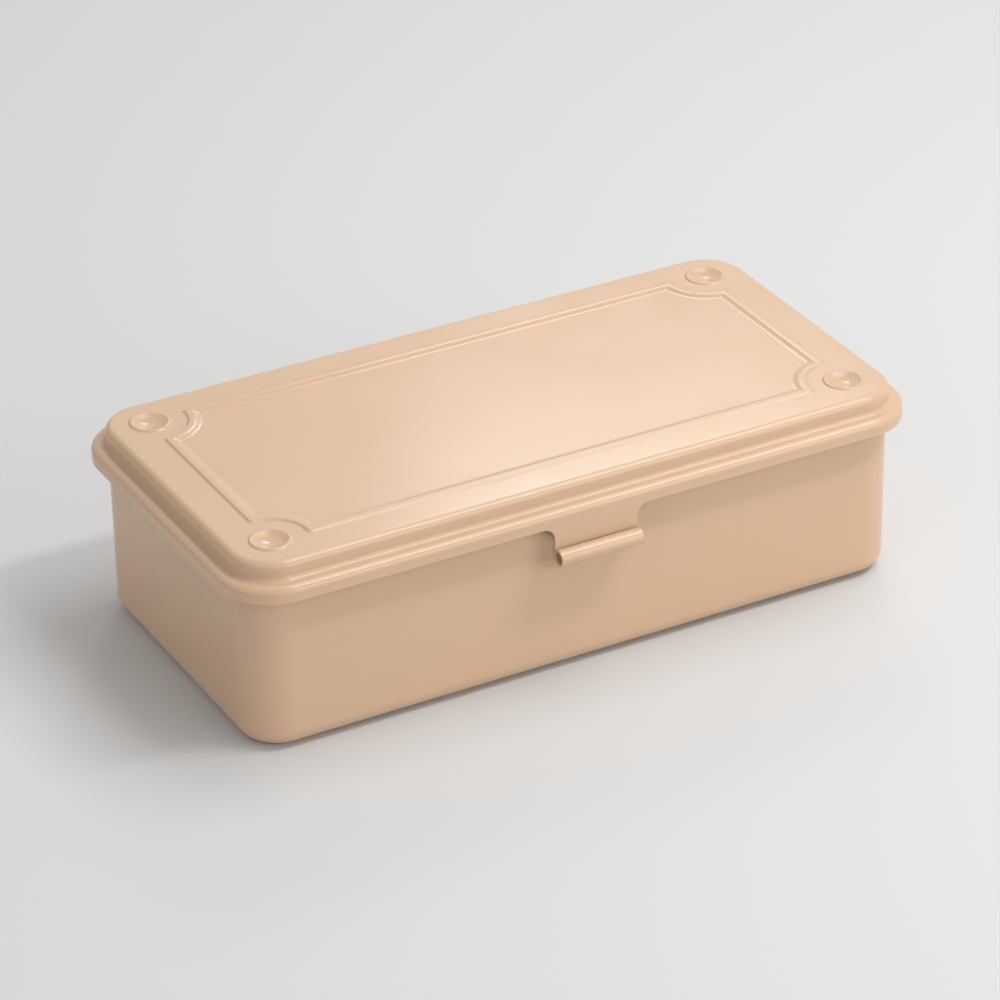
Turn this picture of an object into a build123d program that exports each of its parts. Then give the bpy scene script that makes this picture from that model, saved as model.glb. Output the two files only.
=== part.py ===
from build123d import *
from math import atan, degrees, radians, sqrt, tan
import os

# Pressed steel toolbox with a stepped, hinged lid and a rolled finger tongue.
# +Z is up, +X runs along the box, and the tongue is at -Y.
# The origin is the middle of the box's outline, on the surface that its feet stand on.

# Overall sizes of the closed box, up to the lid's flat top
LID_LENGTH = 203.0
LID_WIDTH = 104.0
TOP_LEVEL = 56.0
LID_CORNER_RADIUS = 16.0
SHEET = 0.65

# Stepped edge of the lid, measured on its outer face
STEP_INSET = 4.0
STEP_HEIGHT = 5.2
STEP_FOOT_RADIUS = 1.2
TOP_EDGE_RADIUS = 2.0
SKIRT_EDGE_RADIUS = 2.0
SKIRT_HEIGHT = 4.4

# Ringed dimples in the lid's corners
DIMPLE_INSET = 16.0
DIMPLE_RADIUS = 5.9
DIMPLE_CREST_RADIUS = 5.0
DIMPLE_RING_HEIGHT = 0.45
DIMPLE_RING_CREST = 0.5
DIMPLE_DEPTH = 0.9

# Raised bead that frames the lid's field and bows in round the dimples
BEAD_INSET = 16.5
BEAD_WIDTH = 3.3
BEAD_HEIGHT = 0.5
BEAD_BOW_RADIUS = 11.5
BEAD_FLANK_ANGLE = 45.0

# Finger tongue, rolled outward and up
TONGUE_WIDTH = 24.4
TONGUE_ROOT_RADIUS = 3.5
TONGUE_DROP = 8.3
TONGUE_OVERLAP = 1.0
CURL_RADIUS = 2.28
CURL_SWEEP = 308.0

# Body pressing
RIM_OFFSET = 0.5
RIM_ROUND = 0.6
SEAT_GAP = 0.3
HEM_HEIGHT = 4.0
FLOOR_EDGE_RADIUS = 4.75
FOOT_HEIGHT = 0.6
FOOT_RADIUS = 4.6
FOOT_FLAT_RADIUS = 2.8

# Catch boss pressed out of the front wall
CATCH_WIDTH = 29.4
CATCH_BOTTOM_DROP = 14.6
CATCH_TOP_DROP = 0.6
CATCH_CORNER_RADIUS = 4.8
CATCH_FLANK = 2.6
CATCH_CREST_ROUND = 1.6
CATCH_FOOT_ROUND = 1.2
CATCH_CLEARANCE = 0.3

# Hinges
HINGE_INSET = 39.5
HINGE_WIDTH = 26.0
KNUCKLE_LENGTH = 10.0
LEAF_THICKNESS = 0.8
LEAF_HEIGHT = 13.0
LEAF_CORNER_RADIUS = 2.5
LEAF_BEND_RADIUS = 0.8
LEAF_LEG = 2.05
HINGE_GAP = 0.3
PIN_RISE = 0.3
PIN_CLEARANCE = 0.05
PIN_OVERHANG = 0.4

# Levels of the lid
FLANGE_TOP = TOP_LEVEL - STEP_HEIGHT
FLANGE_UNDERSIDE = FLANGE_TOP - SHEET
SKIRT_BOTTOM = FLANGE_TOP - SKIRT_HEIGHT

# The rim's outer round stops a seat gap short of the hollow under the step's foot
BODY_INSET = STEP_INSET + RIM_OFFSET
BODY_LENGTH = LID_LENGTH - 2 * BODY_INSET
BODY_WIDTH = LID_WIDTH - 2 * BODY_INSET
BODY_CORNER_RADIUS = LID_CORNER_RADIUS - BODY_INSET
SEAT_REACH = RIM_ROUND + STEP_FOOT_RADIUS + SHEET + SEAT_GAP
SEAT_SPAN = RIM_OFFSET + RIM_ROUND + STEP_FOOT_RADIUS
SEAT_DROP = sqrt(SEAT_REACH**2 - SEAT_SPAN**2)
RIM_TOP = FLANGE_TOP + STEP_FOOT_RADIUS - SEAT_DROP + RIM_ROUND
HEM_THICKNESS = 2 * SHEET

# Leg of a chamfer that touches the middle of a round, as a share of the round's radius
FLAT_SHARE = 2 - sqrt(2)

# Spacing of the dimples and of the feet below them
DIMPLE_SPACING_X = LID_LENGTH - 2 * DIMPLE_INSET
DIMPLE_SPACING_Y = LID_WIDTH - 2 * DIMPLE_INSET

# A dimple's bowl rises to the inner edge of the ring's narrow crest
BOWL_LEVEL = TOP_LEVEL - DIMPLE_DEPTH
CREST_LEVEL = TOP_LEVEL + DIMPLE_RING_HEIGHT
CREST_INSIDE = DIMPLE_CREST_RADIUS - DIMPLE_RING_CREST / 2
CREST_OUTSIDE = DIMPLE_CREST_RADIUS + DIMPLE_RING_CREST / 2

# Slope of a foot's flank, from its flat sole up to the floor
FOOT_SLOPE = degrees(atan(FOOT_HEIGHT / (FOOT_RADIUS - FOOT_FLAT_RADIUS)))

# Catch boss
CATCH_REACH = (LID_WIDTH - BODY_WIDTH) / 2 - SHEET - CATCH_CLEARANCE
CATCH_HEIGHT = CATCH_BOTTOM_DROP - CATCH_TOP_DROP
CATCH_MIDDLE = SKIRT_BOTTOM - (CATCH_BOTTOM_DROP + CATCH_TOP_DROP) / 2
CATCH_FLANK_ANGLE = degrees(atan(CATCH_REACH / CATCH_FLANK))

# The knuckles turn in the middle of the space between the body's back wall and the skirt
SKIRT_INNER = LID_WIDTH / 2 - SHEET
BODY_BACK = BODY_WIDTH / 2
PIN_Y = (SKIRT_INNER + BODY_BACK) / 2
PIN_Z = SKIRT_BOTTOM + PIN_RISE
KNUCKLE_RADIUS = (SKIRT_INNER - BODY_BACK) / 2 - HINGE_GAP
EYE_RADIUS = KNUCKLE_RADIUS - LEAF_THICKNESS
PIN_RADIUS = EYE_RADIUS - PIN_CLEARANCE
HINGE_SPACING = LID_LENGTH - 2 * HINGE_INSET


def bead_outline(inset, bow_radius):
    """Rectangle with a hollow arc round each dimple in place of its corners."""
    with BuildSketch() as outline:
        Rectangle(LID_LENGTH - 2 * inset, LID_WIDTH - 2 * inset)
        with GridLocations(DIMPLE_SPACING_X, DIMPLE_SPACING_Y, 2, 2):
            Circle(bow_radius, mode=Mode.SUBTRACT)
    return outline.sketch


def turn_edges(sharp_edges, radius, depth):
    """Round on the outer face, and on the inner face a flat that touches the parallel round."""
    if depth > 0:
        chamfer(sharp_edges, FLAT_SHARE * (radius - depth))
    else:
        fillet(sharp_edges, radius)


def lid_form(depth):
    """The lid as a filled block, its whole surface moved inward by depth."""
    bead_half = BEAD_WIDTH / 2 - depth * tan(radians(BEAD_FLANK_ANGLE / 2))
    with BuildPart() as form:
        with BuildSketch(Plane.XY.offset(SKIRT_BOTTOM)):
            RectangleRounded(LID_LENGTH - 2 * depth, LID_WIDTH - 2 * depth, LID_CORNER_RADIUS - depth)
        extrude(amount=SKIRT_HEIGHT - depth)
        turn_edges(edges(Select.LAST).group_by(Axis.Z)[-1], SKIRT_EDGE_RADIUS, depth)

        inset = STEP_INSET + depth
        with BuildSketch(Plane.XY.offset(FLANGE_TOP - depth)):
            RectangleRounded(LID_LENGTH - 2 * inset, LID_WIDTH - 2 * inset, LID_CORNER_RADIUS - inset)
        extrude(amount=STEP_HEIGHT)
        step_edges = edges(Select.LAST).group_by(Axis.Z)
        fillet(step_edges[0], STEP_FOOT_RADIUS + depth)
        turn_edges(form.edges().group_by(Axis.Z)[-1], TOP_EDGE_RADIUS, depth)

        with BuildSketch(Plane.XY.offset(TOP_LEVEL - depth)):
            add(bead_outline(BEAD_INSET - bead_half, BEAD_BOW_RADIUS - bead_half))
            add(bead_outline(BEAD_INSET + bead_half, BEAD_BOW_RADIUS + bead_half), mode=Mode.SUBTRACT)
        extrude(amount=BEAD_HEIGHT, taper=BEAD_FLANK_ANGLE)
    return form.part


def body_form(depth):
    """The body as a filled block with its catch boss, its surface moved inward by depth."""
    with BuildPart() as form:
        with BuildSketch(Plane.XY.offset(FOOT_HEIGHT + depth)):
            RectangleRounded(BODY_LENGTH - 2 * depth, BODY_WIDTH - 2 * depth, BODY_CORNER_RADIUS - depth)
        extrude(amount=RIM_TOP - FOOT_HEIGHT - depth)
        fillet(edges(Select.LAST).group_by(Axis.Z)[0], FLOOR_EDGE_RADIUS - depth)

        with BuildSketch(Plane.XY.offset(FOOT_HEIGHT + depth)):
            with GridLocations(DIMPLE_SPACING_X, DIMPLE_SPACING_Y, 2, 2):
                Circle(FOOT_RADIUS - depth * tan(radians(FOOT_SLOPE / 2)))
        extrude(amount=FOOT_HEIGHT, dir=(0, 0, -1), taper=90 - FOOT_SLOPE)

        side = depth * tan(radians(CATCH_FLANK_ANGLE / 2))
        with BuildSketch(Plane.XZ.offset(BODY_WIDTH / 2 - depth)):
            with Locations((0, CATCH_MIDDLE)):
                RectangleRounded(
                    CATCH_WIDTH - 2 * side, CATCH_HEIGHT - 2 * side, CATCH_CORNER_RADIUS - side
                )
        crest_side = side + CATCH_FLANK
        with BuildSketch(Plane.XZ.offset(BODY_WIDTH / 2 + CATCH_REACH - depth)):
            with Locations((0, CATCH_MIDDLE)):
                RectangleRounded(
                    CATCH_WIDTH - 2 * crest_side,
                    CATCH_HEIGHT - 2 * crest_side,
                    CATCH_CORNER_RADIUS - crest_side,
                )
        loft()
        boss_edges = edges(Select.LAST).group_by(Axis.Y)
        fillet(boss_edges[-1], CATCH_FOOT_ROUND + depth)
        fillet(form.edges().group_by(Axis.Y)[0], CATCH_CREST_ROUND - depth)
    return form.part


# Body: drawn shell, rim hemmed inward, four round feet
body_hollow = body_form(SHEET)
with BuildPart() as body_shell:
    add(body_form(0))
    add(body_hollow, mode=Mode.SUBTRACT)
    with BuildSketch(Plane.XY.offset(RIM_TOP - HEM_HEIGHT)):
        RectangleRounded(BODY_LENGTH, BODY_WIDTH, BODY_CORNER_RADIUS)
        RectangleRounded(
            BODY_LENGTH - 2 * HEM_THICKNESS,
            BODY_WIDTH - 2 * HEM_THICKNESS,
            BODY_CORNER_RADIUS - HEM_THICKNESS,
            mode=Mode.SUBTRACT,
        )
    extrude(amount=HEM_HEIGHT)
    fillet(body_shell.edges().group_by(Axis.Z)[-1], RIM_ROUND)
body_shell.part.label = "body_shell"
export_step(body_shell.part, "parts/body_shell.step")

# Dimple: a spherical bowl in a raised ring, pressed from the lid's sheet
with BuildPart() as dimple:
    with BuildSketch(Plane.XZ):
        with BuildLine():
            bowl = TangentArc((0, BOWL_LEVEL), (CREST_INSIDE, CREST_LEVEL), tangent=(1, 0))
            under = TangentArc(
                (0, BOWL_LEVEL - SHEET), (CREST_INSIDE, CREST_LEVEL - SHEET), tangent=(1, 0)
            )
            Polyline(
                bowl @ 1,
                (CREST_OUTSIDE, CREST_LEVEL),
                (DIMPLE_RADIUS, TOP_LEVEL),
                (DIMPLE_RADIUS, TOP_LEVEL - SHEET),
                under @ 1,
            )
            Line(under @ 0, bowl @ 0)
        make_face()
    revolve(axis=Axis.Z)

# Lid: stepped shell with beads, ringed dimples and the rolled tongue
lid_hollow = lid_form(SHEET)
with BuildPart() as lid_shell:
    add(lid_form(0))
    add(lid_hollow, mode=Mode.SUBTRACT)
    with BuildSketch(Plane.XY.offset(TOP_LEVEL - SHEET)):
        with GridLocations(DIMPLE_SPACING_X, DIMPLE_SPACING_Y, 2, 2):
            Circle(DIMPLE_RADIUS)
    extrude(amount=SHEET, mode=Mode.SUBTRACT)
    with GridLocations(DIMPLE_SPACING_X, DIMPLE_SPACING_Y, 2, 2):
        add(dimple.part)

    with BuildSketch(Plane.XZ.offset(SKIRT_INNER)) as tongue_outline:
        with Locations((0, SKIRT_BOTTOM)):
            Rectangle(TONGUE_WIDTH, TONGUE_DROP, align=(Align.CENTER, Align.MAX))
            Rectangle(
                TONGUE_WIDTH + 4 * TONGUE_ROOT_RADIUS,
                TONGUE_OVERLAP,
                align=(Align.CENTER, Align.MIN),
            )
        roots = tongue_outline.vertices().group_by(Axis.Y)[1]
        fillet(roots.sort_by(Axis.X)[1:-1], TONGUE_ROOT_RADIUS)
    extrude(amount=SHEET)

    curl_y = -SKIRT_INNER - CURL_RADIUS
    curl_z = SKIRT_BOTTOM - TONGUE_DROP
    with BuildSketch(Plane.YZ):
        with BuildLine():
            curl_outside = CenterArc((curl_y, curl_z), CURL_RADIUS, 0, -CURL_SWEEP)
            curl_inside = CenterArc((curl_y, curl_z), CURL_RADIUS - SHEET, 0, -CURL_SWEEP)
            Line(curl_outside @ 0, curl_inside @ 0)
            Line(curl_outside @ 1, curl_inside @ 1)
        make_face()
    extrude(amount=TONGUE_WIDTH / 2, both=True)
lid_shell.part.label = "lid_shell"
export_step(lid_shell.part, "parts/lid_shell.step")

# Hinges: a leaf on the body, a leaf in the lid and a pin, at each end of the back
for side, hinge_x in (("left", -HINGE_SPACING / 2), ("right", HINGE_SPACING / 2)):
    hinge_plane = Plane.YZ.offset(hinge_x)
    leaf_top = PIN_Z - KNUCKLE_RADIUS - HINGE_GAP

    with BuildPart() as body_leaf:
        with BuildSketch(hinge_plane):
            with Locations((BODY_BACK, leaf_top)):
                Rectangle(LEAF_THICKNESS, LEAF_HEIGHT, align=(Align.MIN, Align.MAX))
        extrude(amount=HINGE_WIDTH / 2, both=True)
        fillet(body_leaf.edges().filter_by(Axis.Y).group_by(Axis.Z)[0], LEAF_CORNER_RADIUS)
        with BuildSketch(hinge_plane):
            with Locations((BODY_BACK, leaf_top)):
                Rectangle(LEAF_THICKNESS, PIN_Z - leaf_top, align=(Align.MIN, Align.MIN))
            with Locations((PIN_Y, PIN_Z)):
                Circle(KNUCKLE_RADIUS)
                Circle(EYE_RADIUS, mode=Mode.SUBTRACT)
        extrude(amount=KNUCKLE_LENGTH / 2, both=True)
    body_leaf.part.label = f"hinge_body_leaf_{side}"
    export_step(body_leaf.part, f"parts/hinge_body_leaf_{side}.step")

    with BuildPart() as lid_leaf:
        with BuildSketch(hinge_plane) as angle:
            with Locations((SKIRT_INNER, SKIRT_BOTTOM)):
                Rectangle(
                    LEAF_THICKNESS, FLANGE_UNDERSIDE - SKIRT_BOTTOM, align=(Align.MAX, Align.MIN)
                )
            with Locations((SKIRT_INNER, FLANGE_UNDERSIDE)):
                Rectangle(LEAF_LEG, LEAF_THICKNESS, align=(Align.MAX, Align.MAX))
            bend_outside = angle.vertices().group_by(Axis.Y)[-1].sort_by(Axis.X)[-1]
            fillet(bend_outside, LEAF_BEND_RADIUS + LEAF_THICKNESS)
            bend_inside = angle.vertices().filter_by_position(
                Axis.X, SKIRT_INNER - LEAF_THICKNESS, SKIRT_INNER - LEAF_THICKNESS
            ).sort_by(Axis.Y)[-1]
            fillet(bend_inside, LEAF_BEND_RADIUS)
            with Locations((PIN_Y, PIN_Z)):
                Circle(KNUCKLE_RADIUS)
                Circle(EYE_RADIUS, mode=Mode.SUBTRACT)
        extrude(amount=HINGE_WIDTH / 2, both=True)
        with BuildSketch(hinge_plane):
            with Locations((SKIRT_INNER, PIN_Z)):
                Rectangle(
                    SKIRT_INNER - BODY_BACK,
                    2 * (KNUCKLE_RADIUS + HINGE_GAP),
                    align=(Align.MAX, Align.CENTER),
                )
        extrude(amount=KNUCKLE_LENGTH / 2 + HINGE_GAP, both=True, mode=Mode.SUBTRACT)
    lid_leaf.part.label = f"hinge_lid_leaf_{side}"
    export_step(lid_leaf.part, f"parts/hinge_lid_leaf_{side}.step")

    with BuildPart() as pin:
        with BuildSketch(hinge_plane):
            with Locations((PIN_Y, PIN_Z)):
                Circle(PIN_RADIUS)
        extrude(amount=HINGE_WIDTH / 2 + PIN_OVERHANG, both=True)
    pin.part.label = f"hinge_pin_{side}"
    export_step(pin.part, f"parts/hinge_pin_{side}.step")
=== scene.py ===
import math

import bmesh
import bpy
from mathutils import Matrix, Vector


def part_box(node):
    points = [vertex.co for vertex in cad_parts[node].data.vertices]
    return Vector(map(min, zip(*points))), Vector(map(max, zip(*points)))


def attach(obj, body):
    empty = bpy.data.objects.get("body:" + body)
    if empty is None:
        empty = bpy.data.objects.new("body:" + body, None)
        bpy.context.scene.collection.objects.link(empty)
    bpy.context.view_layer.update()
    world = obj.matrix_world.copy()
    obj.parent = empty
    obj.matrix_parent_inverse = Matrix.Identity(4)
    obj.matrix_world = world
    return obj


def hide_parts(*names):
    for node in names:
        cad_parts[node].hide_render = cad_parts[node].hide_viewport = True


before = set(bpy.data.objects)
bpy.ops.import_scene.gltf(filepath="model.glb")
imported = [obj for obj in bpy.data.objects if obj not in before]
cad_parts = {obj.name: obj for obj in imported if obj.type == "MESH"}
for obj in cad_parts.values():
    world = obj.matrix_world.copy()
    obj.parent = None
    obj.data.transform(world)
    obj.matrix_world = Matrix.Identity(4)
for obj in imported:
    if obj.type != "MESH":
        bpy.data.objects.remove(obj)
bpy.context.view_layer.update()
lid_low, lid_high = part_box("lid_shell")
body_low, body_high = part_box("body_shell")

bl_info = {
    "name": "Pressed Steel Toolbox",
    "version": (1, 0, 0),
    "blender": (4, 5, 0),
    "location": "View3D > Sidebar > Toolbox",
    "description": "Models a small enamelled steel box with a stepped lid and a finger tongue",
    "category": "Object",
}

MM = 0.001
ALONG = Vector((1, 0, 0))
BACK = Vector((0, 1, 0))
FRONT = -BACK
UP = Vector((0, 0, 1))

# How far apart two levels may lie and count as one, and two points likewise
SAME_LEVEL = 0.01 * MM
SAME_POINT = 0.0005 * MM

# Steps that each round is drawn in
CORNER_STEPS = 20
LID_EDGE_STEPS = 8
STEP_FOOT_STEPS = 6
BEAD_CORNER_STEPS = 8
BEAD_BOW_STEPS = 14
BEAD_ROUND_STEPS = 4
RING_FOOT_STEPS = 4
RING_CREST_STEPS = 8
BOWL_STEPS = 8
TONGUE_ROOT_STEPS = 8
TUBE_STEPS = 40
FLOOR_EDGE_STEPS = 10
RIM_STEPS = 5
BOSS_ROUND_STEPS = 5
FOOT_ARC_STEPS = 3
CUT_EDGE_STEPS = 2
TURN_STEPS = 48

# Flat strips beside the bead and round the catch boss, which give their rounds room
BEAD_COLLAR = 0.8 * MM
BOSS_COLLAR = 1.2 * MM

# Edges of the sheet that turn more than this are its cut edges
CUT_EDGE_ANGLE = math.radians(55)
# How strongly the large flats, not the narrow rounds, set the shading of their borders
FLAT_WEIGHT = 90

# Noises that vary the enamel: scale, detail, and the two values that the change runs between
TONE_NOISE = (14, 3, 0.35, 0.65)
GLOSS_NOISE = (60, 4, 0.3, 0.7)
WEAR_NOISE = (420, 4, 0.52, 0.68)
# Bumps of the enamel: scale, detail, strength and depth
ORANGE_PEEL = (900, 2, 0.18, 0.02 * MM)
SHEET_WAVES = (22, 1, 0.25, 0.25 * MM)
TONE_CHANGE = 0.015
ROUGHNESS_CHANGE = 0.03
WEAR_REACH = 0.3 * MM
MOST_WEAR = 0.6
PAINT_IOR = 1.45

# Each lamp's length and width in metres, and its place
LAMPS = {
    "overhead": (0.6, 0.6, Vector((0.42, 0, 1))),
    "key": (0.56, 0.1, Vector((0.44, -0.37, 0.86))),
    "front": (0.9, 0.9, Vector((0.55, -1.15, 0.45))),
    "glint": (0.25, 0.25, Vector((0.62, 0.98, 0.87))),
    "back": (1.4, 1.4, Vector((0.75, 1.4, 0.75))),
    "left": (0.9, 0.9, Vector((-1.2, -0.5, 0.6))),
}
# From the floor's middle to its sides, in metres
FLOOR_REACH = 6
FLOOR_ROUGHNESS = 0.9
FLOOR_SHINE = 0.2
SKY_WHITE = (1, 1, 1, 1)

# The camera looks at this point. Its shifts are shares of the picture's width.
CAMERA_AIM = Vector((0, 0, 0.028))
SENSOR_WIDTH_MM = 36
SHIFT_X = -0.0006
SHIFT_Y = -0.007
VIEW_DEPTH = 20


def metres(name, description, default):
    """A size that the panel shows."""
    return bpy.props.FloatProperty(
        name=name, description=description, default=default, unit="LENGTH", precision=5
    )


def degrees(name, description, default):
    """An angle that the panel shows."""
    return bpy.props.FloatProperty(
        name=name, description=description, default=math.radians(default), subtype="ANGLE"
    )


def paint(name, description, default):
    """A linear colour that the panel shows."""
    return bpy.props.FloatVectorProperty(
        name=name, description=description, default=default,
        subtype="COLOR", size=3, min=0, max=1,
    )


def watts(name, description, default):
    """A lamp's power that the panel shows."""
    return bpy.props.FloatProperty(
        name=name, description=description, default=default, unit="POWER"
    )


class ToolboxSheet(bpy.types.PropertyGroup):
    thickness: metres("Sheet", "Thickness of the steel sheet", 0.65 * MM)
    cut_edge: metres("Cut edge", "Width of the softened arris on the cut edges", 0.12 * MM)


class ToolboxLid(bpy.types.PropertyGroup):
    length: metres("Length", "Length of the lid", lid_high.x - lid_low.x)
    width: metres("Width", "Width of the lid without its tongue", 2 * lid_high.y)
    corner: metres("Corner", "Radius of the lid's outline at its corners", 16 * MM)
    top: metres("Top", "Level of the flat top", 56 * MM)
    skirt: metres("Skirt", "Height of the skirt below the flange", 4.4 * MM)
    step_inset: metres("Step inset", "Width of the flange round the raised top", 4 * MM)
    step_height: metres("Step height", "Height of the raised top above the flange", 5.2 * MM)
    step_foot: metres("Step foot", "Radius where the step rises from the flange", 1.2 * MM)
    edge: metres("Edge", "Radius of the top's and the skirt's upper edges", 2 * MM)


class ToolboxLidRelief(bpy.types.PropertyGroup):
    dimple_inset: metres("Dimple inset", "Distance of the dimples from the sides", 16 * MM)
    dimple_radius: metres("Dimple radius", "Outer radius of a dimple's ring", 5.9 * MM)
    crest_radius: metres("Crest radius", "Radius of the ring's crest", 5 * MM)
    crest_round: metres("Crest round", "Section radius of the ring's crest", 0.75 * MM)
    ring_height: metres("Ring height", "Height of the ring above the top", 0.45 * MM)
    bowl_depth: metres("Bowl depth", "Depth of the bowl below the top", 0.9 * MM)
    bead_inset_end: metres("Bead end inset", "From the lid's ends to the bead's foot", 15 * MM)
    bead_inset_side: metres(
        "Bead side inset", "From the lid's long sides to the bead's foot", 14.15 * MM
    )
    bead_bow: metres("Bead bow", "Radius of the bead's outer foot round a dimple", 9.85 * MM)
    bead_width: metres("Bead width", "Width of the bead at its foot", 3.65 * MM)
    bead_height: metres("Bead height", "Height of the bead above the top", 0.49 * MM)
    bead_outer_flank: metres("Outer flank", "Width of the bead's outward slope", 0.6 * MM)
    bead_inner_flank: metres("Inner flank", "Width of the bead's inward slope", 1.3 * MM)
    bead_corner: metres("Bead corner", "Radius where the bead turns into its bow", 1.1 * MM)
    bead_round: metres("Bead round", "Width of the rounds of the outward slope", 0.24 * MM)
    bead_soft_round: metres("Soft round", "Width of the rounds of the inward slope", 0.5 * MM)


class ToolboxTongue(bpy.types.PropertyGroup):
    width: metres("Width", "Width of the tongue and its tube", 24.4 * MM)
    root: metres("Root", "Radius where the tongue leaves the skirt", 3.5 * MM)
    drop: metres("Drop", "Drop of the tube's axis below the skirt", 8.3 * MM)
    curl: metres("Curl", "Radius of the rolled face, which is the inside of the tube", 1.63 * MM)
    sweep: degrees("Sweep", "Angle through which the tongue is rolled", 308)


class ToolboxBody(bpy.types.PropertyGroup):
    length: metres("Length", "Length of the body", body_high.x - body_low.x)
    width: metres("Width", "Width of the body without its catch boss", 2 * body_high.y)
    corner: metres("Corner", "Radius of the body's outline at its corners", 11.5 * MM)
    rim: metres("Rim", "Level of the rim's top", body_high.z)
    rim_round: metres("Rim round", "Radius of the fold, more than the sheet's thickness", 0.68 * MM)
    hem: metres("Hem", "Depth of the sheet folded down inside the rim", 4 * MM)
    hem_gap: metres("Hem gap", "Gap between the wall and the sheet folded inside it", 0.1 * MM)
    floor_edge: metres("Floor edge", "Radius between the walls and the floor", 4.75 * MM)
    foot_height: metres("Foot height", "Height of the pressed feet", 0.6 * MM)
    foot_radius: metres("Foot radius", "Outer radius of a foot", 4.6 * MM)
    sole_radius: metres("Sole radius", "Radius of a foot's flat sole", 2.8 * MM)


class ToolboxCatch(bpy.types.PropertyGroup):
    width: metres("Width", "Width of the catch boss at its foot", 29.4 * MM)
    height: metres("Height", "Height of the catch boss at its foot", 14 * MM)
    level: metres("Level", "Level of the middle of the boss", 38.8 * MM)
    corner: metres("Corner", "Radius of the boss's outline at its corners", 4.8 * MM)
    flank: metres("Flank", "Width of the boss's sloping flank", 2.6 * MM)
    reach: metres("Reach", "Reach of the boss in front of the wall", 3.55 * MM)
    foot_round: metres("Foot round", "Width of the round at the boss's foot", 1.3 * MM)
    crest_round: metres("Crest round", "Width of the round at the boss's crest", 1.5 * MM)


class ToolboxFinish(bpy.types.PropertyGroup):
    enamel: paint("Enamel", "Colour of the enamel", (0.645, 0.437, 0.287))
    thin_enamel: paint("Thin enamel", "Colour where it is rubbed thin", (0.71, 0.54, 0.41))
    pin_enamel: paint("Pin enamel", "Colour of the hinge pins", (0.6, 0.41, 0.27))
    roughness: bpy.props.FloatProperty(
        name="Roughness", description="Roughness of the enamel", default=0.18, min=0, max=1
    )


class ToolboxStage(bpy.types.PropertyGroup):
    floor: paint("Floor", "Colour of the floor", (0.67, 0.67, 0.67))
    overhead: watts("Overhead", "Large lamp above the box on the right", 3.3)
    key: watts("Key", "Strip lamp high up in front on the right", 3.4)
    front: watts("Front", "Large lamp in front on the right", 5.5)
    glint: watts("Glint", "Small lamp high up behind on the right", 1.2)
    back: watts("Back", "Large lamp behind the box, which its top reflects", 2.7)
    left: watts("Left", "Large lamp in front on the left", 1.5)
    sky: bpy.props.FloatProperty(
        name="Sky", description="Strength of the light from all round", default=0.48
    )
    distance: metres("Distance", "Distance of the camera from the box", 1.2151)
    lens: bpy.props.FloatProperty(
        name="Lens", description="Focal length of the camera in millimetres", default=162.53
    )
    azimuth: degrees("Azimuth", "Turn of the camera from the front to the left", 28.29)
    elevation: degrees("Elevation", "Height angle of the camera", 29.35)
    roll: degrees("Roll", "Turn of the camera about its view", -0.9)


def in_plane(part, normal, distance):
    """Whether an edge or a face lies in a plane at a distance along its normal."""
    return all(abs(v.co.dot(normal) - distance) < SAME_LEVEL for v in part.verts)


def rounded_face(bm, size_x, size_y, radius, place, facing):
    """One flat face with rounded corners, in the plane that place gives."""
    made = bmesh.ops.create_grid(bm, x_segments=1, y_segments=1, size=0.5)["verts"]
    bmesh.ops.scale(bm, vec=(size_x, size_y, 1), verts=made)
    bmesh.ops.bevel(
        bm, geom=made, offset=radius, offset_type="OFFSET", segments=CORNER_STEPS,
        profile=0.5, affect="VERTICES", material=-1,
    )
    rounded = [f for f in bm.faces if len(f.verts) > 4 and in_plane(f, UP, 0)]
    face = max(rounded, key=lambda f: f.calc_area())
    bmesh.ops.transform(bm, matrix=place, verts=face.verts)
    if face.normal.dot(facing) < 0:
        bmesh.ops.reverse_faces(bm, faces=[face])
    return face


def inset(bm, face, thickness, depth=0.0):
    """Steps a face inward by thickness and along its normal by depth."""
    bmesh.ops.inset_region(
        bm, faces=[face], thickness=thickness, depth=depth,
        use_even_offset=True, use_boundary=True,
    )


def raise_face(bm, face, vector):
    """Extrudes a face and returns the moved one."""
    moved = bmesh.ops.extrude_discrete_faces(bm, faces=[face])["faces"][0]
    bmesh.ops.translate(bm, vec=vector, verts=moved.verts)
    return moved


def drop_edges(bm, edges, vector):
    """Draws a wall from open edges and returns its far edges."""
    made = bmesh.ops.extrude_edge_only(bm, edges=edges)["geom"]
    verts = [g for g in made if isinstance(g, bmesh.types.BMVert)]
    drawn = [g for g in made if isinstance(g, bmesh.types.BMEdge)]
    bmesh.ops.translate(bm, vec=vector, verts=verts)
    return [e for e in drawn if all(v in verts for v in e.verts)]


def soften(bm, edges, offset, segments):
    """Rounds edges over by the width offset."""
    bmesh.ops.bevel(
        bm, geom=edges, offset=offset, offset_type="OFFSET", segments=segments,
        profile=0.5, affect="EDGES", material=-1, clamp_overlap=True,
    )


def fill_flat(bm, normal, distance):
    """Fills the space between the open edges that lie in one plane."""
    edges = [e for e in bm.edges if e.is_boundary and in_plane(e, normal, distance)]
    bmesh.ops.triangle_fill(bm, edges=edges, normal=normal, use_beauty=True)


def spin_line(bm, vert, centre, axis, angle, steps):
    """Draws an arc of edges from a vertex and returns its last vertex."""
    made = bmesh.ops.spin(
        bm, geom=[vert], cent=centre, axis=axis, angle=angle, steps=steps, use_duplicate=False
    )["geom_last"]
    return [g for g in made if isinstance(g, bmesh.types.BMVert)][0]


def points_of(parts):
    """The vertices of edges or faces, each once."""
    return list(dict.fromkeys(v for part in parts for v in part.verts))


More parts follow.
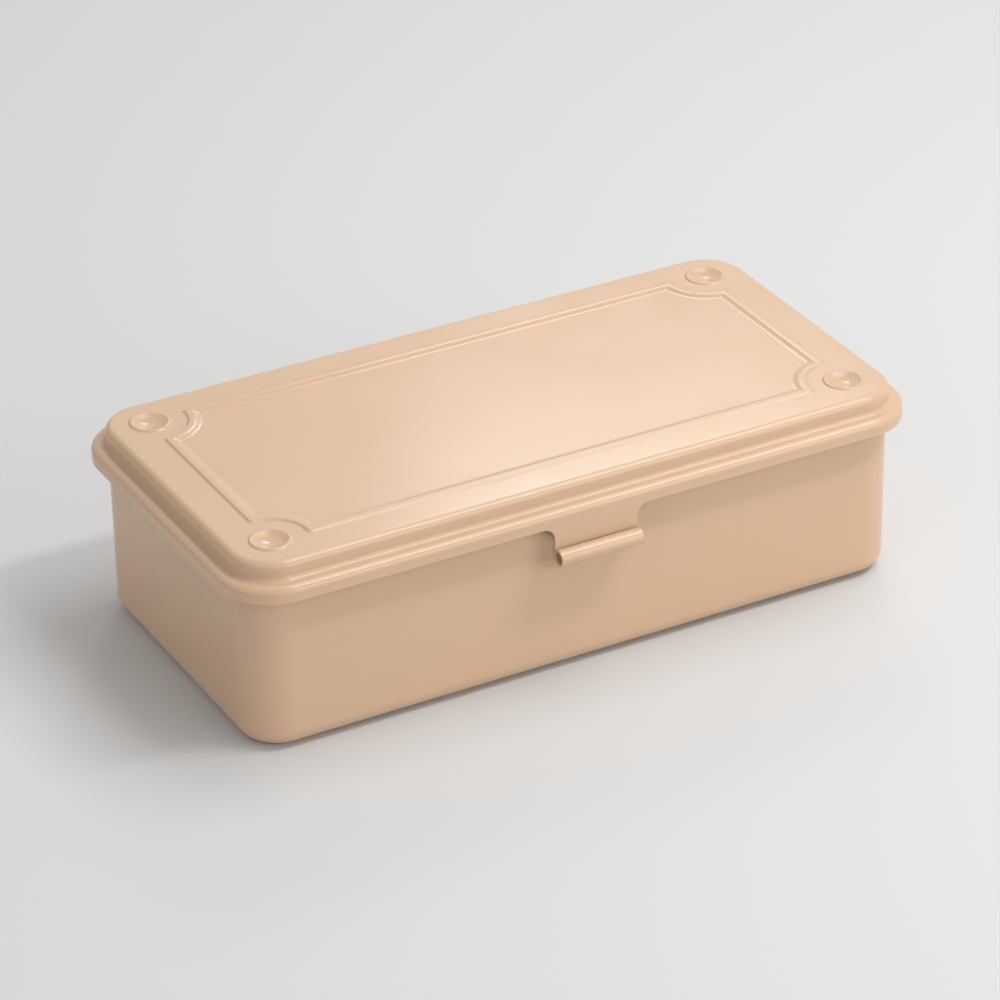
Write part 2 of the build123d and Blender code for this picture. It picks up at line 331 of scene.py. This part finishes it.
def spin_round(bm, edges, centre):
    """Turns a profile once about an upright axis."""
    bmesh.ops.spin(
        bm, geom=edges + points_of(edges), cent=centre, axis=UP, angle=2 * math.pi,
        steps=TURN_STEPS, use_merge=True,
    )


def sheet_object(name, bm, sheet):
    """Makes real sheet with softened cut edges from the outer face of a pressing."""
    bmesh.ops.remove_doubles(bm, verts=bm.verts, dist=SAME_POINT)
    bmesh.ops.recalc_face_normals(bm, faces=bm.faces)
    for face in bm.faces:
        face.smooth = True
    mesh = bpy.data.meshes.new(name)
    bm.to_mesh(mesh)
    bm.free()
    piece = bpy.data.objects.new(name, mesh)
    bpy.context.scene.collection.objects.link(piece)
    wall = piece.modifiers.new("Sheet", "SOLIDIFY")
    wall.thickness = sheet.thickness
    wall.offset = -1
    wall.use_even_offset = True
    wall.use_quality_normals = True
    arris = piece.modifiers.new("Cut edges", "BEVEL")
    arris.width = sheet.cut_edge
    arris.segments = CUT_EDGE_STEPS
    arris.limit_method = "ANGLE"
    arris.angle_limit = CUT_EDGE_ANGLE
    arris.use_clamp_overlap = True
    shade = piece.modifiers.new("Flats", "WEIGHTED_NORMAL")
    shade.mode = "FACE_AREA"
    shade.weight = FLAT_WEIGHT
    shade.keep_sharp = False
    return piece


def enamel(name, colour, finish, thin_level=0.0):
    """Glossy stove enamel with faint changes of tone, orange peel, a gently uneven sheet
    and thin paint near one level, which has no effect on a piece that doesn't reach it."""
    material = bpy.data.materials.new(name)
    material.use_nodes = True
    nodes, link = material.node_tree.nodes, material.node_tree.links.new
    shader = nodes["Principled BSDF"]
    shader.inputs["IOR"].default_value = PAINT_IOR
    place = nodes.new("ShaderNodeTexCoord").outputs["Object"]

    def noise(scale, detail):
        node = nodes.new("ShaderNodeTexNoise")
        node.inputs["Scale"].default_value = scale
        node.inputs["Detail"].default_value = detail
        link(place, node.inputs["Vector"])
        return node.outputs["Fac"]

    def span(value, low, high, to_low, to_high):
        node = nodes.new("ShaderNodeMapRange")
        link(value, node.inputs["Value"])
        node.inputs["From Min"].default_value = low
        node.inputs["From Max"].default_value = high
        node.inputs["To Min"].default_value = to_low
        node.inputs["To Max"].default_value = to_high
        return node.outputs["Result"]

    def vary(scale, detail, low, high, to_low, to_high):
        return span(noise(scale, detail), low, high, to_low, to_high)

    def calculate(operation, *values):
        node = nodes.new("ShaderNodeMath")
        node.operation = operation
        for socket, value in zip(node.inputs, values):
            if isinstance(value, bpy.types.NodeSocket):
                link(value, socket)
            else:
                socket.default_value = value
        return node.outputs["Value"]

    def mix(factor, low, high):
        node = nodes.new("ShaderNodeMix")
        node.data_type = "RGBA"
        link(factor, node.inputs["Factor"])
        colours = [socket for socket in node.inputs if socket.type == "RGBA"]
        for socket, value in zip(colours, (low, high)):
            if isinstance(value, bpy.types.NodeSocket):
                link(value, socket)
            else:
                socket.default_value = (*value, 1)
        return next(socket for socket in node.outputs if socket.type == "RGBA")

    def bump(scale, detail, strength, depth):
        node = nodes.new("ShaderNodeBump")
        node.inputs["Strength"].default_value = strength
        node.inputs["Distance"].default_value = depth
        link(noise(scale, detail), node.inputs["Height"])
        return node

    base = Vector(colour)
    darker, lighter = base * (1 - TONE_CHANGE), base * (1 + TONE_CHANGE)
    tone = mix(vary(*TONE_NOISE, 0, 1), darker, lighter)
    axes = nodes.new("ShaderNodeSeparateXYZ")
    link(place, axes.inputs["Vector"])
    away = calculate("ABSOLUTE", calculate("SUBTRACT", axes.outputs["Z"], thin_level))
    worn = calculate(
        "MULTIPLY", span(away, 0, WEAR_REACH, 1, 0), vary(*WEAR_NOISE, 0, MOST_WEAR)
    )
    link(mix(worn, tone, finish.thin_enamel), shader.inputs["Base Color"])
    smoother = finish.roughness - ROUGHNESS_CHANGE
    rougher = finish.roughness + ROUGHNESS_CHANGE
    link(vary(*GLOSS_NOISE, smoother, rougher), shader.inputs["Roughness"])
    peel = bump(*ORANGE_PEEL)
    waves = bump(*SHEET_WAVES)
    link(peel.outputs["Normal"], waves.inputs["Normal"])
    link(waves.outputs["Normal"], shader.inputs["Normal"])
    return material


def dimple_places(lid, relief):
    """Middles of the four dimples, under which the four feet stand."""
    x = lid.length / 2 - relief.dimple_inset
    y = lid.width / 2 - relief.dimple_inset
    return [(-x, -y), (-x, y), (x, -y), (x, y)]


def skirt_bottom(lid):
    """Level of the skirt's lower edge."""
    return lid.top - lid.step_height - lid.skirt


def lid_pressing(lid):
    """Flange, skirt and raised top."""
    bm = bmesh.new()
    flange = Matrix.Translation((0, 0, lid.top - lid.step_height))
    face = rounded_face(bm, lid.length, lid.width, lid.corner, flange, UP)
    skirt_edge = list(face.edges)
    drop_edges(bm, skirt_edge, (0, 0, -lid.skirt))
    inset(bm, face, lid.step_inset)
    foot_edge = list(face.edges)
    top = raise_face(bm, face, (0, 0, lid.step_height))
    crest = list(top.edges)
    soften(bm, skirt_edge, lid.edge, LID_EDGE_STEPS)
    soften(bm, foot_edge, lid.step_foot, STEP_FOOT_STEPS)
    soften(bm, crest, lid.edge, LID_EDGE_STEPS)
    return bm


def bead_line(bm, lid, relief, inward, level, corner):
    """A quarter of one level line of the bead, bowed in round a dimple."""
    dimple_x, dimple_y = dimple_places(lid, relief)[-1]
    middle = Vector((dimple_x, dimple_y, level))
    side_x = lid.length / 2 - relief.bead_inset_end - inward
    side_y = lid.width / 2 - relief.bead_inset_side - inward
    reach = relief.bead_bow + inward + corner
    turn_x = math.acos((middle.x - side_x + corner) / reach)
    turn_y = math.acos((middle.y - side_y + corner) / reach)
    low = Vector((side_x - corner, middle.y - reach * math.sin(turn_x), level))
    high = Vector((middle.x - reach * math.sin(turn_y), side_y - corner, level))
    before = set(bm.edges)
    side = bm.verts.new((side_x, 0, level))
    start = bm.verts.new((side_x, low.y, level))
    bm.edges.new((side, start))
    turned = spin_line(bm, start, low, UP, turn_x, BEAD_CORNER_STEPS)
    bow_angle = math.pi / 2 - turn_x - turn_y
    bowed = spin_line(bm, turned, middle, UP, bow_angle, BEAD_BOW_STEPS)
    ended = spin_line(bm, bowed, high, UP, turn_y, BEAD_CORNER_STEPS)
    bm.edges.new((ended, bm.verts.new((0, side_y, level))))
    return [e for e in bm.edges if e not in before]


def bead_frame(bm, lid, relief):
    """The raised bead with its bowed corners, and the flat field inside it."""
    crest = lid.top + relief.bead_height
    inner_foot = relief.bead_width
    inner_crest = inner_foot - relief.bead_inner_flank
    crisp, gentle = relief.bead_round, relief.bead_soft_round
    # Each line's distance inward, its level, its share of the corner radius, and its round
    lines = (
        (-BEAD_COLLAR, lid.top, 1.2, 0),
        (0, lid.top, 1.1, crisp),
        (relief.bead_outer_flank, crest, 1, crisp),
        (inner_crest, crest, 0.6, gentle),
        (inner_foot, lid.top, 0.5, gentle),
        (inner_foot + BEAD_COLLAR, lid.top, 0.5, 0),
    )
    others = set(bm.faces)
    quarter = [
        bead_line(bm, lid, relief, inward, level, share * relief.bead_corner)
        for inward, level, share, _ in lines
    ]
    for outer, inner in zip(quarter, quarter[1:]):
        bmesh.ops.bridge_loops(bm, edges=outer + inner)
    for edges, (_, _, _, offset) in zip(quarter, lines):
        if offset:
            soften(bm, edges, offset, BEAD_ROUND_STEPS)
    centre = bm.verts.new((0, 0, lid.top))
    ends = [v for v in points_of(quarter[-1]) if min(v.co.x, v.co.y) == 0]
    spokes = [bm.edges.new((centre, end)) for end in ends]
    bmesh.ops.contextual_create(bm, geom=quarter[-1] + spokes)
    for axis in "XY":
        faces = [f for f in bm.faces if f not in others]
        edges = dict.fromkeys(e for f in faces for e in f.edges)
        bmesh.ops.mirror(
            bm, geom=[*points_of(faces), *edges, *faces], matrix=Matrix.Identity(4),
            merge_dist=SAME_POINT, axis=axis,
        )


def dimple(bm, lid, relief, x, y):
    """One ringed bowl, turned from tangent arcs."""
    foot_gap = relief.dimple_radius - relief.crest_radius
    bowl_rise = relief.bowl_depth + relief.ring_height
    bowl_angle = 2 * math.atan(bowl_rise / relief.crest_radius)
    ring_angle = 2 * math.atan(relief.ring_height / foot_gap)
    foot_radius = foot_gap / math.sin(ring_angle) - relief.crest_round
    bowl_radius = relief.crest_radius / math.sin(bowl_angle) - relief.crest_round
    crest_level = lid.top + relief.ring_height - relief.crest_round
    before = set(bm.edges)
    edge = Vector((x + relief.dimple_radius, y, lid.top))
    start = bm.verts.new(edge)
    turn = spin_line(bm, start, edge + UP * foot_radius, BACK, ring_angle, RING_FOOT_STEPS)
    crest = Vector((x + relief.crest_radius, y, crest_level))
    over = spin_line(bm, turn, crest, BACK, -(ring_angle + bowl_angle), RING_CREST_STEPS)
    centre = Vector((x, y, lid.top - relief.bowl_depth + bowl_radius))
    spin_line(bm, over, centre, BACK, bowl_angle, BOWL_STEPS)
    spin_round(bm, [e for e in bm.edges if e not in before], (x, y, 0))


def tongue(bm, lid, curl):
    """The tongue below the skirt, rolled outward into a finger tube."""
    front = -lid.width / 2
    bottom = skirt_bottom(lid)
    lower = [e for e in bm.edges if e.is_boundary and in_plane(e, UP, bottom)]
    in_front = [e for e in lower if in_plane(e, FRONT, -front)]
    root = min(in_front, key=lambda e: abs(sum(v.co.x for v in e.verts)))
    left, right = sorted(root.verts, key=lambda v: v.co.x)
    before = set(bm.edges)
    root_z = bottom - curl.root
    left_middle, right_middle = (left.co.x, front, root_z), (right.co.x, front, root_z)
    left_end = spin_line(bm, left, left_middle, BACK, math.pi / 2, TONGUE_ROOT_STEPS)
    right_end = spin_line(bm, right, right_middle, BACK, -math.pi / 2, TONGUE_ROOT_STEPS)
    axis_z = bottom - curl.drop
    low_left = bm.verts.new((-curl.width / 2, front, axis_z))
    low_right = bm.verts.new((curl.width / 2, front, axis_z))
    bm.edges.new((left_end, low_left))
    lip = bm.edges.new((low_left, low_right))
    bm.edges.new((low_right, right_end))
    outline = [root] + [e for e in bm.edges if e not in before]
    bmesh.ops.contextual_create(bm, geom=outline)
    bmesh.ops.spin(
        bm, geom=[lip, low_left, low_right], cent=(0, front - curl.curl, axis_z),
        axis=ALONG, angle=-curl.sweep, steps=TUBE_STEPS,
    )


def body_pressing(body, sheet):
    """Walls, floor and the rim with its hem."""
    bm = bmesh.new()
    rim = Matrix.Translation((0, 0, body.rim))
    face = rounded_face(bm, body.length, body.width, body.corner, rim, UP)
    rim_outside = list(face.edges)
    low = drop_edges(bm, rim_outside, (0, 0, body.foot_height - body.rim))
    floor = bmesh.ops.contextual_create(bm, geom=low)["faces"][0]
    floor_edge = list(floor.edges)
    inset(bm, face, 2 * sheet.thickness + body.hem_gap)
    rim_inside = list(face.edges)
    hem_bottom = raise_face(bm, face, (0, 0, -body.hem))
    bmesh.ops.delete(bm, geom=[hem_bottom], context="FACES_ONLY")
    soften(bm, floor_edge, body.floor_edge, FLOOR_EDGE_STEPS)
    soften(bm, rim_outside, body.rim_round, RIM_STEPS)
    soften(bm, rim_inside, body.rim_round, RIM_STEPS)
    return bm


def catch_boss(bm, body, catch):
    """The boss in the front wall, whose flat is opened for it and filled again."""
    wall = body.width / 2
    walls = [f for f in bm.faces if in_plane(f, FRONT, wall)]
    front_wall = max(walls, key=lambda f: f.calc_area())
    bmesh.ops.delete(bm, geom=[front_wall], context="FACES_ONLY")
    upright = Matrix.Rotation(math.pi / 2, 4, "X")
    place = Matrix.Translation((0, -wall, catch.level)) @ upright
    width = catch.width + 2 * BOSS_COLLAR
    height = catch.height + 2 * BOSS_COLLAR
    boss = rounded_face(bm, width, height, catch.corner + BOSS_COLLAR, place, FRONT)
    inset(bm, boss, BOSS_COLLAR)
    boss_foot = list(boss.edges)
    inset(bm, boss, catch.flank, catch.reach)
    boss_crest = list(boss.edges)
    soften(bm, boss_foot, catch.foot_round, BOSS_ROUND_STEPS)
    soften(bm, boss_crest, catch.crest_round, BOSS_ROUND_STEPS)
    fill_flat(bm, FRONT, wall)


def foot(bm, body, x, y):
    """A round foot with a flat sole, turned from two tangent arcs."""
    reach = body.foot_radius - body.sole_radius
    angle = 2 * math.atan(body.foot_height / reach)
    bend = reach / math.sin(angle) / 2
    before = set(bm.edges)
    edge = Vector((x + body.foot_radius, y, body.foot_height))
    start = bm.verts.new(edge)
    down = spin_line(bm, start, edge - UP * bend, BACK, -angle, FOOT_ARC_STEPS)
    sole_edge = Vector((x + body.sole_radius, y, 0))
    sole = spin_line(bm, down, sole_edge + UP * bend, BACK, angle, FOOT_ARC_STEPS)
    bm.edges.new((sole, bm.verts.new((x, y, 0))))
    spin_round(bm, [e for e in bm.edges if e not in before], (x, y, 0))


class TOOLBOX_OT_lid(bpy.types.Operator):
    """Model the lid as one pressing with its bead, dimples and rolled tongue"""

    bl_idname = "toolbox.lid"
    bl_label = "Lid"

    def execute(self, context):
        scene = context.scene
        lid, relief, curl = scene.toolbox_lid, scene.toolbox_relief, scene.toolbox_tongue
        bm = lid_pressing(lid)
        # Cuts that give the skirt's lower edge a stretch of its own for the tongue
        root_x = curl.width / 2 + curl.root
        for x in (-root_x, root_x):
            everything = bm.verts[:] + bm.edges[:] + bm.faces[:]
            bmesh.ops.bisect_plane(bm, geom=everything, plane_co=ALONG * x, plane_no=ALONG)
        # The flat top is opened for the bead and the dimples, and filled again round them
        tops = [f for f in bm.faces if in_plane(f, UP, lid.top)]
        bmesh.ops.delete(bm, geom=tops, context="FACES")
        bead_frame(bm, lid, relief)
        for x, y in dimple_places(lid, relief):
            dimple(bm, lid, relief, x, y)
        bmesh.ops.remove_doubles(bm, verts=bm.verts, dist=SAME_POINT)
        fill_flat(bm, UP, lid.top)
        tongue(bm, lid, curl)
        piece = sheet_object("lid", bm, scene.toolbox_sheet)
        finish = scene.toolbox_finish
        material = enamel("lid_enamel", finish.enamel, finish, thin_level=skirt_bottom(lid))
        piece.data.materials.append(material)
        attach(piece, "lid")
        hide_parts("lid_shell")
        return {"FINISHED"}


class TOOLBOX_OT_body(bpy.types.Operator):
    """Model the body as one drawn pressing with its hemmed rim, catch boss and feet"""

    bl_idname = "toolbox.body"
    bl_label = "Body"

    def execute(self, context):
        scene = context.scene
        body = scene.toolbox_body
        bm = body_pressing(body, scene.toolbox_sheet)
        catch_boss(bm, body, scene.toolbox_catch)
        # The flat floor is opened for the feet, and filled again round them
        floors = [f for f in bm.faces if in_plane(f, UP, body.foot_height)]
        bmesh.ops.delete(bm, geom=floors, context="FACES_ONLY")
        for x, y in dimple_places(scene.toolbox_lid, scene.toolbox_relief):
            foot(bm, body, x, y)
        bmesh.ops.remove_doubles(bm, verts=bm.verts, dist=SAME_POINT)
        fill_flat(bm, -UP, -body.foot_height)
        piece = sheet_object("body", bm, scene.toolbox_sheet)
        finish = scene.toolbox_finish
        rim_crest = body.rim - WEAR_REACH
        material = enamel("body_enamel", finish.enamel, finish, thin_level=rim_crest)
        piece.data.materials.append(material)
        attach(piece, "body")
        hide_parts("body_shell")
        return {"FINISHED"}


class TOOLBOX_OT_hinges(bpy.types.Operator):
    """Paint the hinge leaves and the pins"""

    bl_idname = "toolbox.hinges"
    bl_label = "Hinges"

    def execute(self, context):
        finish = context.scene.toolbox_finish
        leaf_paint = enamel("hinge_enamel", finish.enamel, finish)
        pin_paint = enamel("pin_enamel", finish.pin_enamel, finish)
        for name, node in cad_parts.items():
            if not name.startswith("hinge"):
                continue
            is_pin = name.startswith("hinge_pin")
            node.data.materials.clear()
            node.data.materials.append(pin_paint if is_pin else leaf_paint)
        return {"FINISHED"}


class TOOLBOX_OT_stage(bpy.types.Operator):
    """Lay the pale floor and set up the soft lamps and the camera"""

    bl_idname = "toolbox.stage"
    bl_label = "Stage"

    def execute(self, context):
        scene = context.scene
        stage = scene.toolbox_stage
        scene.view_settings.view_transform = "Standard"
        self.floor(scene, stage)
        self.sky(scene, stage)
        for name, (size_x, size_y, place) in LAMPS.items():
            self.lamp(scene, name, getattr(stage, name), size_x, size_y, place)
        self.camera(scene, stage)
        return {"FINISHED"}

    def floor(self, scene, stage):
        """A wide sheet of pale matt paper."""
        bm = bmesh.new()
        bmesh.ops.create_grid(bm, x_segments=1, y_segments=1, size=FLOOR_REACH)
        mesh = bpy.data.meshes.new("floor")
        bm.to_mesh(mesh)
        bm.free()
        floor = bpy.data.objects.new("floor", mesh)
        scene.collection.objects.link(floor)
        paper = bpy.data.materials.new("paper")
        paper.use_nodes = True
        shader = paper.node_tree.nodes["Principled BSDF"]
        shader.inputs["Base Color"].default_value = (*stage.floor, 1)
        shader.inputs["Roughness"].default_value = FLOOR_ROUGHNESS
        shader.inputs["Specular IOR Level"].default_value = FLOOR_SHINE
        mesh.materials.append(paper)

    def sky(self, scene, stage):
        """Even white light from all round."""
        world = bpy.data.worlds.new("studio")
        world.use_nodes = True
        background = world.node_tree.nodes["Background"]
        background.inputs["Color"].default_value = SKY_WHITE
        background.inputs["Strength"].default_value = stage.sky
        scene.world = world

    def lamp(self, scene, name, power, size_x, size_y, place):
        """A square soft lamp that faces the box, or a strip that lies along it."""
        light = bpy.data.lights.new(name, "AREA")
        light.energy = power
        light.size = size_x
        facing = place
        if size_x != size_y:
            light.shape = "RECTANGLE"
            light.size_y = size_y
            facing = Vector((0, place.y, place.z))
        lamp = bpy.data.objects.new(name, light)
        lamp.location = place
        lamp.rotation_euler = facing.to_track_quat("Z", "Y").to_euler()
        scene.collection.objects.link(lamp)

    def camera(self, scene, stage):
        """The camera at the photograph's angle."""
        data = bpy.data.cameras.new("camera")
        data.lens = stage.lens
        data.sensor_width = SENSOR_WIDTH_MM
        data.shift_x = SHIFT_X
        data.shift_y = SHIFT_Y
        data.clip_end = VIEW_DEPTH
        camera = bpy.data.objects.new("camera", data)
        level = math.cos(stage.elevation)
        back = Vector((
            -math.sin(stage.azimuth) * level,
            -math.cos(stage.azimuth) * level,
            math.sin(stage.elevation),
        ))
        right = (-back).cross(UP).normalized()
        top = right.cross(-back)
        sine, cosine = math.sin(stage.roll), math.cos(stage.roll)
        rolled_right = right * cosine + top * sine
        rolled_top = top * cosine - right * sine
        turned = Matrix((rolled_right, rolled_top, back)).transposed().to_4x4()
        camera.matrix_world = Matrix.Translation(back * stage.distance + CAMERA_AIM) @ turned
        scene.collection.objects.link(camera)
        scene.camera = camera


OPERATORS = (TOOLBOX_OT_lid, TOOLBOX_OT_body, TOOLBOX_OT_hinges, TOOLBOX_OT_stage)
SETTINGS = {
    "toolbox_sheet": ToolboxSheet,
    "toolbox_lid": ToolboxLid,
    "toolbox_relief": ToolboxLidRelief,
    "toolbox_tongue": ToolboxTongue,
    "toolbox_body": ToolboxBody,
    "toolbox_catch": ToolboxCatch,
    "toolbox_finish": ToolboxFinish,
    "toolbox_stage": ToolboxStage,
}


class TOOLBOX_PT_panel(bpy.types.Panel):
    """The toolbox's sizes, finishes and making steps"""

    bl_idname = "TOOLBOX_PT_panel"
    bl_label = "Toolbox"
    bl_space_type = "VIEW_3D"
    bl_region_type = "UI"
    bl_category = "Toolbox"

    def draw(self, context):
        for name, group in SETTINGS.items():
            box = self.layout.box()
            box.label(text=name.removeprefix("toolbox_").capitalize())
            for setting in group.__annotations__:
                box.prop(getattr(context.scene, name), setting)
        for operator in OPERATORS:
            self.layout.operator(operator.bl_idname)


def register():
    for group in (*SETTINGS.values(), *OPERATORS, TOOLBOX_PT_panel):
        bpy.utils.register_class(group)
    for name, group in SETTINGS.items():
        setattr(bpy.types.Scene, name, bpy.props.PointerProperty(type=group))


def unregister():
    for name in SETTINGS:
        delattr(bpy.types.Scene, name)
    for group in (TOOLBOX_PT_panel, *OPERATORS, *SETTINGS.values()):
        bpy.utils.unregister_class(group)


def main():
    register()
    bpy.ops.toolbox.lid()
    bpy.ops.toolbox.body()
    bpy.ops.toolbox.hinges()
    bpy.ops.toolbox.stage()


if __name__ == "__main__":
    main()
